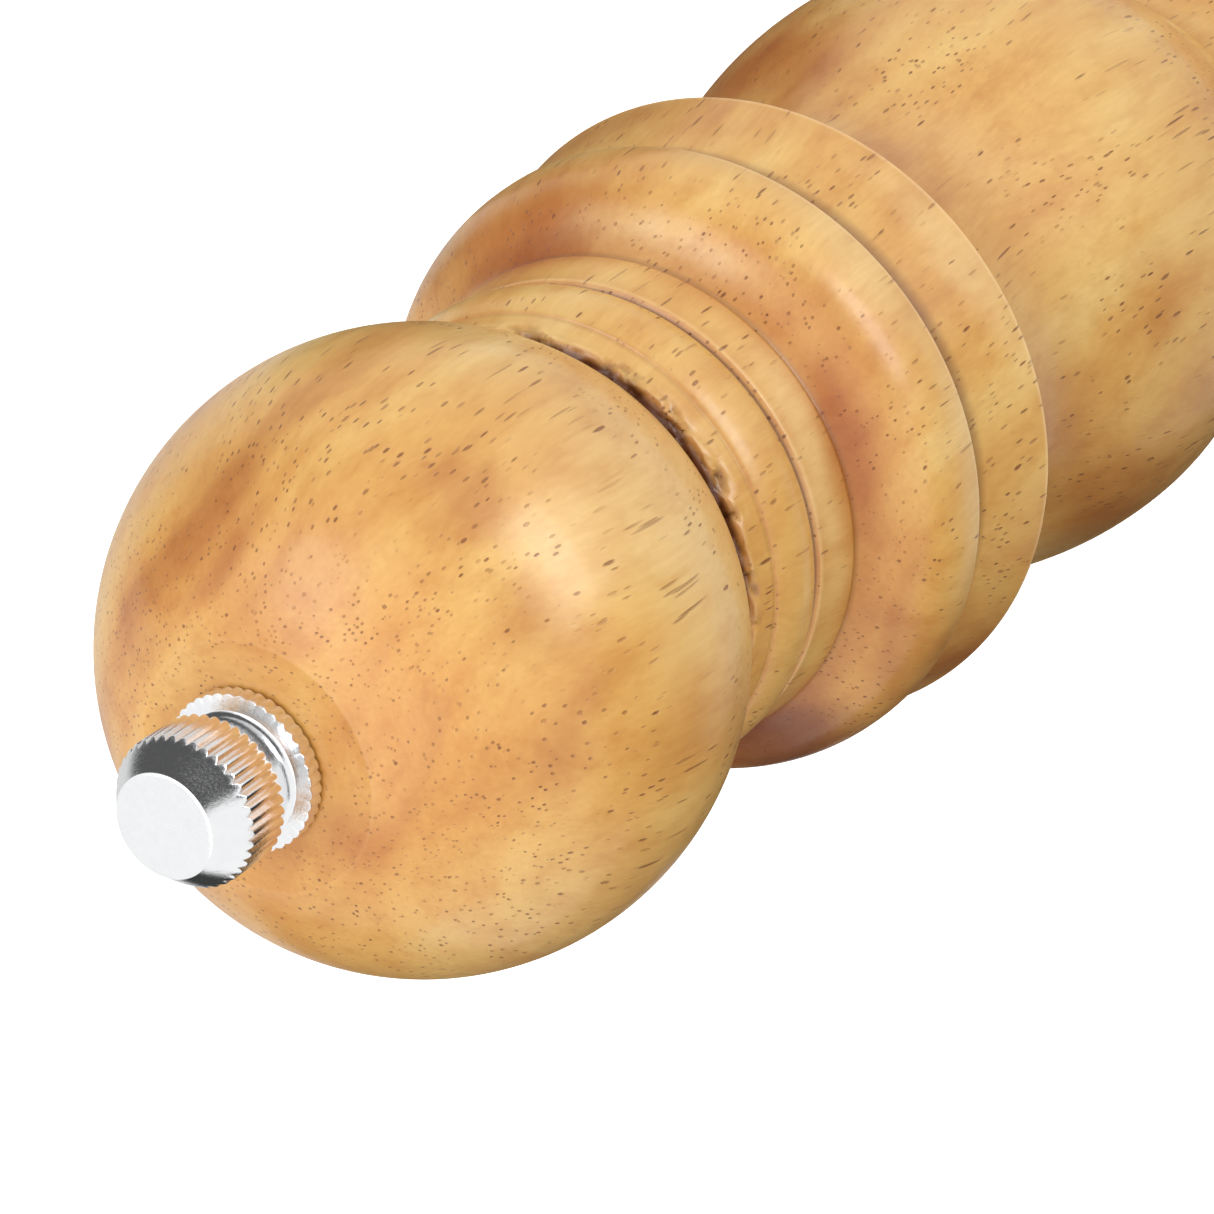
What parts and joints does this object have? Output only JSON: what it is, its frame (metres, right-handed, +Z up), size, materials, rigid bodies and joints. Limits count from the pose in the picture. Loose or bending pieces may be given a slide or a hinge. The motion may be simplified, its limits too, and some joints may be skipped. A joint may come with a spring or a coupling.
{
  "type": "pepper mill",
  "caption": "Turned wooden pepper mill with a ball head, a knurled metal knob, a square drive shaft, and a sprung burr grinder in its foot.",
  "frame": {"origin": "middle of the flat underside of the foot", "axes": "+Z up along the mill's axis from the foot to the knob; +X along the retaining bar across the foot"},
  "size_m": [0.0612, 0.0612, 0.215],
  "materials": {
    "wood": "honey-coloured hardwood under satin lacquer",
    "chrome": "bright chrome plate, straight knurling",
    "steel": "plain bright steel",
    "burr_steel": "dark hardened steel",
    "nylon": "natural nylon"
  },
  "bodies": {
    "mill_body": {"body_wood": "wood", "glide_washer": "nylon", "outer_burr": "burr_steel", "burr_bridge": "steel", "retaining_bar": "steel", "bar_screw_1": "steel", "bar_screw_2": "steel", "outer_burr_pin_1": "steel", "outer_burr_pin_2": "steel"},
    "guide": {"guide_bush": "nylon", "spring_washer": "steel", "grinder_spring": "steel"},
    "spindle": {"drive_shaft": "steel", "inner_burr": "burr_steel", "thrust_washer": "steel", "burr_clip": "steel"},
    "head": {"head_wood": "wood", "turn_plate": "steel", "turn_plate_screw_1": "steel", "turn_plate_screw_2": "steel", "turn_plate_screw_3": "steel"},
    "knob": {"finial_nut": "chrome"}
  },
  "joints": [
    {"name": "head_turn", "type": "hinge", "parent": "mill_body", "child": "guide", "pos_m": [0, 0, 0.018], "axis": [0, 0, 1], "continuous": true},
    {"name": "grind_setting", "type": "slide", "parent": "guide", "child": "spindle", "axis": [0, 0, 1], "range_m": [0, 0.0016], "stiffness_N_per_m": 3300, "springref_m": -0.0012, "deforming": ["grinder_spring"]},
    {"name": "head_lift", "type": "slide", "parent": "guide", "child": "head", "axis": [0, 0, 1], "range_m": [0, 0.088]},
    {"name": "nut_turn", "type": "hinge", "parent": "head", "child": "knob", "pos_m": [0, 0, 0.2041], "axis": [0, 0, 1], "range_deg": [-720, 0]}
  ],
  "couplings": [
    {"joint": "nut_turn", "follows": "grind_setting", "rad_per_m": -7853.9}
  ]
}
